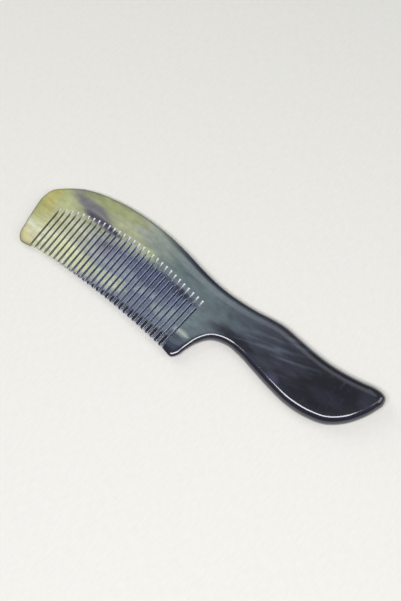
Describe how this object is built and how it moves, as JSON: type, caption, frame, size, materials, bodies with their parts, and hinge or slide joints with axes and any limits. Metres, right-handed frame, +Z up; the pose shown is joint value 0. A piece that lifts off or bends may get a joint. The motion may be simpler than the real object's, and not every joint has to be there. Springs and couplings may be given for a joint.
{
  "type": "handled comb",
  "caption": "Flat one-piece horn comb with a curved back, sawn teeth between two wide guards, and a thicker S-curved handle.",
  "frame": {"origin": "centre of the comb's outline, on the flat side it lies on", "axes": "+X along the comb from the front of the head to the end of the handle, teeth towards -Y, +Z up through the thickness"},
  "size_m": [0.18, 0.0443, 0.0069],
  "materials": {
    "horn_pale": "polished pale horn, yellow-green",
    "horn_olive": "polished horn, olive to grey-green",
    "horn_slate": "polished horn, slate grey",
    "horn_dark": "polished black horn"
  },
  "bodies": {
    "root": {"back": "horn_olive", "handle": "horn_dark", "front_guard": "horn_pale", "rear_guard": "horn_slate", "tooth_01": "horn_pale", "tooth_02": "horn_pale", "tooth_03": "horn_pale", "tooth_04": "horn_pale", "tooth_05": "horn_pale", "tooth_06": "horn_pale", "tooth_07": "horn_pale", "tooth_08": "horn_pale", "tooth_09": "horn_pale", "tooth_10": "horn_slate", "tooth_11": "horn_slate", "tooth_12": "horn_slate", "tooth_13": "horn_slate", "tooth_14": "horn_slate", "tooth_15": "horn_slate", "tooth_16": "horn_slate", "tooth_17": "horn_slate", "tooth_18": "horn_slate", "tooth_19": "horn_slate", "tooth_20": "horn_slate", "tooth_21": "horn_slate", "tooth_22": "horn_slate", "tooth_23": "horn_slate", "tooth_24": "horn_slate", "tooth_25": "horn_slate", "tooth_26": "horn_slate", "tooth_27": "horn_slate", "tooth_28": "horn_slate", "tooth_29": "horn_slate"}
  },
  "joints": []
}
